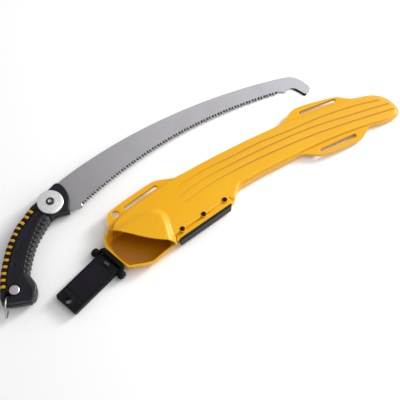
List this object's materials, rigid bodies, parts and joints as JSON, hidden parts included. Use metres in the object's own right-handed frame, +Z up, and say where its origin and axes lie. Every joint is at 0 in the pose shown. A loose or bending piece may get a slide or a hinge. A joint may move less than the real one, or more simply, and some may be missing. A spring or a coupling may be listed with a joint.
{
  "type": "pruning saw with scabbard",
  "caption": "Curved pruning saw with a clamped, angle-adjustable blade and ribbed pistol handle, beside its two-shell belt scabbard with a hinged hanger.",
  "frame": {"origin": "centre of the set in plan, on the surface it lies on", "axes": "+X along the scabbard towards its tip, +Y from the scabbard towards the blade, +Z up"},
  "size_m": [0.6796, 0.2282, 0.0355],
  "materials": {
    "steel_blade": "satin ground steel",
    "handle_body": "fine matt",
    "core_metal": "plain sheet",
    "yellow_insert": "matt",
    "black_rubber": "soft matt",
    "screw_steel": "bright zinc",
    "silver_disc": "fine blasted",
    "pin_black": "black",
    "ring_steel": "bright",
    "yellow_plastic": "moulded, semi gloss",
    "black_plastic": "moulded, fine grain",
    "rivet_dark": "dark"
  },
  "bodies": {
    "handle": {"side_plate_front": "handle_body", "side_plate_back": "handle_body", "handle_core": "core_metal", "spine_insert": "yellow_insert", "spine_grip": "black_rubber", "finger_grip": "black_rubber", "clamp_nut": "screw_steel", "rear_bolt": "screw_steel", "rear_nut": "screw_steel", "handle_pin_1": "pin_black", "handle_pin_2": "pin_black", "handle_pin_3": "pin_black"},
    "blade": {"blade": "steel_blade"},
    "clamp": {"clamp_disc": "silver_disc", "clamp_screw": "screw_steel", "spring_washer": "screw_steel"},
    "ring": {"lanyard_ring": "ring_steel"},
    "scabbard": {"scabbard_front_shell": "yellow_plastic", "scabbard_back_shell": "yellow_plastic", "tooth_guard": "black_plastic", "guard_rivet_1": "rivet_dark", "guard_rivet_2": "rivet_dark", "guard_rivet_3": "rivet_dark", "hanger_bracket": "black_plastic", "hanger_pin": "black_plastic", "hanger_pin_cap": "black_plastic"},
    "hanger": {"belt_hanger": "black_plastic"},
    "catch": {"hanger_catch": "black_plastic"}
  },
  "joints": [
    {"name": "blade_angle", "type": "hinge", "parent": "handle", "child": "blade", "pos_m": [-0.20842, 0.05569, 0.01511], "axis": [0.0316, 0.0003, 0.9995], "range_deg": [-4, 7.5]},
    {"name": "clamp_turn", "type": "hinge", "parent": "handle", "child": "clamp", "pos_m": [-0.20842, 0.05569, 0.01511], "axis": [0.0316, 0.0003, 0.9995], "continuous": true},
    {"name": "ring_swing", "type": "hinge", "parent": "handle", "child": "ring", "pos_m": [-0.32447, -0.05114, 0.01881], "axis": [0.0316, 0.0003, 0.9995], "range_deg": [-60, 40]},
    {"name": "scabbard_away", "type": "slide", "parent": "handle", "child": "scabbard", "axis": [0, -1, 0], "range_m": [0, 0.3]},
    {"name": "hanger_swing", "type": "hinge", "parent": "scabbard", "child": "hanger", "pos_m": [-0.17408, -0.06668, 0.0083], "axis": [0.3387, -0.9409, 0], "range_deg": [-80, 80]},
    {"name": "catch_slide", "type": "slide", "parent": "hanger", "child": "catch", "axis": [-0.9409, -0.3387, 0], "range_m": [0, 0.0024], "stiffness_N_per_m": 150}
  ]
}
